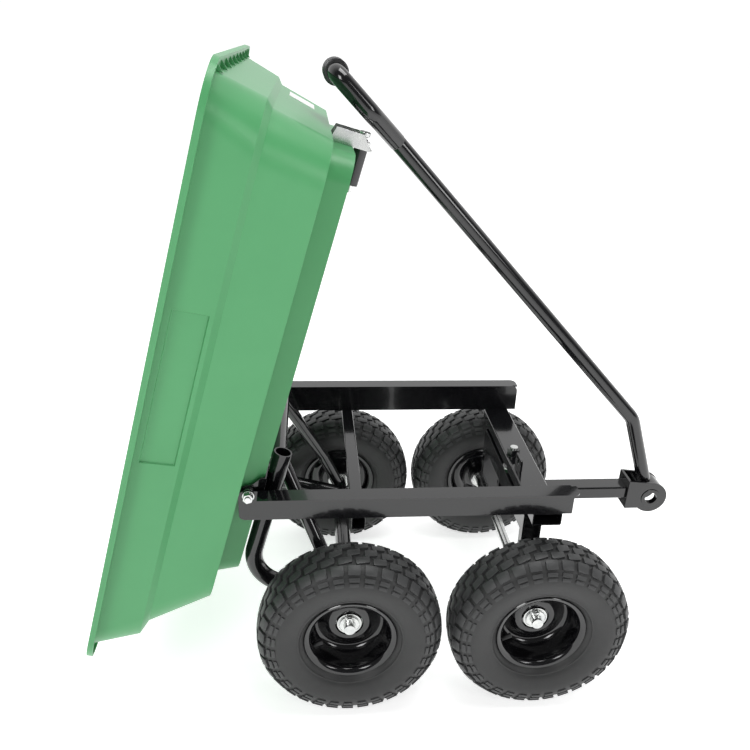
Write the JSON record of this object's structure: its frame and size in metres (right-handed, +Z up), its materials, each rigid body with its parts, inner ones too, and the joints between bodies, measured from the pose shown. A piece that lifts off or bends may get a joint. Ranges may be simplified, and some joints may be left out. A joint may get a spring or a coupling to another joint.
{
  "type": "garden dump cart",
  "caption": "Pneumatic-tyred garden cart with a tipping moulded tub, steel rail chassis, steered front axle, spring latch and folding loop pull handle, shown tipped.",
  "frame": {"origin": "on the ground under the middle of the cart's length, half way between the wheels of each axle", "axes": "+X forwards, +Y to the cart's left across the axles, +Z up"},
  "size_m": [0.8823, 0.523, 0.8701],
  "materials": {
    "green_tub": "semi-gloss moulded polyethylene with a faint pebbled skin",
    "label_film": "blank printed-film label",
    "black_enamel": "glossy black powder coat with slight orange peel",
    "zinc_plate": "bright zinc plating",
    "spring_steel": "drawn spring wire",
    "black_grip": "smooth moulded sleeve",
    "tyre_rubber": "matte black rubber, knobbly tread",
    "tube_rubber": "smooth butyl rubber"
  },
  "bodies": {
    "chassis": {"rail_right": "black_enamel", "rail_left": "black_enamel", "crossbar_mid": "black_enamel", "crossbar_front": "black_enamel", "latch_catch": "black_enamel", "king_bolt": "zinc_plate", "king_nut": "black_enamel", "king_thrust_washer": "zinc_plate"},
    "front_axle": {"front_bolster": "black_enamel", "steering_arm": "black_enamel", "clevis": "black_enamel", "clevis_rivets": "black_enamel", "front_axle_sleeves": "black_enamel", "front_axle_rod": "zinc_plate", "front_axle_washers": "zinc_plate", "front_cotter_pins": "zinc_plate"},
    "tub_carriage": {"tub": "green_tub", "tub_label": "label_film", "carrier_tube_right": "black_enamel", "carrier_tube_left": "black_enamel", "carrier_strut_right": "black_enamel", "carrier_strut_left": "black_enamel", "carrier_cross_tube": "black_enamel", "pivot_bracket_right": "black_enamel", "pivot_bracket_left": "black_enamel", "rear_axle_tube": "black_enamel", "tub_bolts": "zinc_plate", "pivot_studs": "zinc_plate", "pivot_washers": "zinc_plate", "pivot_nuts": "zinc_plate", "rear_axle_rod": "zinc_plate", "rear_axle_washers": "zinc_plate", "rear_cotter_pins": "zinc_plate", "latch_bracket": "zinc_plate", "latch_barrel": "black_enamel", "latch_nut": "zinc_plate", "latch_spring": "spring_steel", "latch_bolts": "zinc_plate"},
    "latch_pin": {"latch_plunger": "zinc_plate", "latch_knob": "zinc_plate"},
    "handle": {"handle_yoke": "black_enamel", "handle_tube": "black_enamel", "handle_loop": "black_enamel", "handle_grip": "black_grip"},
    "wheel_rear_right": {"tyre_rear_right": "tyre_rubber", "inner_tube_rear_right": "tube_rubber", "rim_rear_right": "black_enamel", "hub_bearings_rear_right": "zinc_plate"},
    "wheel_rear_left": {"tyre_rear_left": "tyre_rubber", "inner_tube_rear_left": "tube_rubber", "rim_rear_left": "black_enamel", "hub_bearings_rear_left": "zinc_plate"},
    "wheel_front_right": {"tyre_front_right": "tyre_rubber", "inner_tube_front_right": "tube_rubber", "rim_front_right": "black_enamel", "hub_bearings_front_right": "zinc_plate"},
    "wheel_front_left": {"tyre_front_left": "tyre_rubber", "inner_tube_front_left": "tube_rubber", "rim_front_left": "black_enamel", "hub_bearings_front_left": "zinc_plate"}
  },
  "joints": [
    {"name": "tub_tip", "type": "hinge", "parent": "chassis", "child": "tub_carriage", "pos_m": [-0.2265, 0, 0.3245], "axis": [0, 1, 0], "range_deg": [0, 74.8]},
    {"name": "steer", "type": "hinge", "parent": "chassis", "child": "front_axle", "pos_m": [0.1805, 0, 0.262], "axis": [0, 0, 1], "range_deg": [-2, 2]},
    {"name": "handle_tilt", "type": "hinge", "parent": "front_axle", "child": "handle", "pos_m": [0.414, 0, 0.2125], "axis": [0, 1, 0], "range_deg": [0, 130]},
    {"name": "latch_pull", "type": "slide", "parent": "tub_carriage", "child": "latch_pin", "axis": [0.2622, 0, 0.965], "range_m": [0, 0.005], "stiffness_N_per_m": 600, "springref_m": -0.01, "deforming": ["latch_spring"]},
    {"name": "spin_rear_right", "type": "hinge", "parent": "tub_carriage", "child": "wheel_rear_right", "pos_m": [-0.089, -0.203, 0.13], "axis": [0, 1, 0], "continuous": true},
    {"name": "spin_rear_left", "type": "hinge", "parent": "tub_carriage", "child": "wheel_rear_left", "pos_m": [-0.089, 0.203, 0.13], "axis": [0, 1, 0], "continuous": true},
    {"name": "spin_front_right", "type": "hinge", "parent": "front_axle", "child": "wheel_front_right", "pos_m": [0.1805, -0.203, 0.13], "axis": [0, 1, 0], "continuous": true},
    {"name": "spin_front_left", "type": "hinge", "parent": "front_axle", "child": "wheel_front_left", "pos_m": [0.1805, 0.203, 0.13], "axis": [0, 1, 0], "continuous": true}
  ],
  "couplings": [
    {"joint": "handle_tilt", "follows": "tub_tip", "ratio": 1.73}
  ]
}
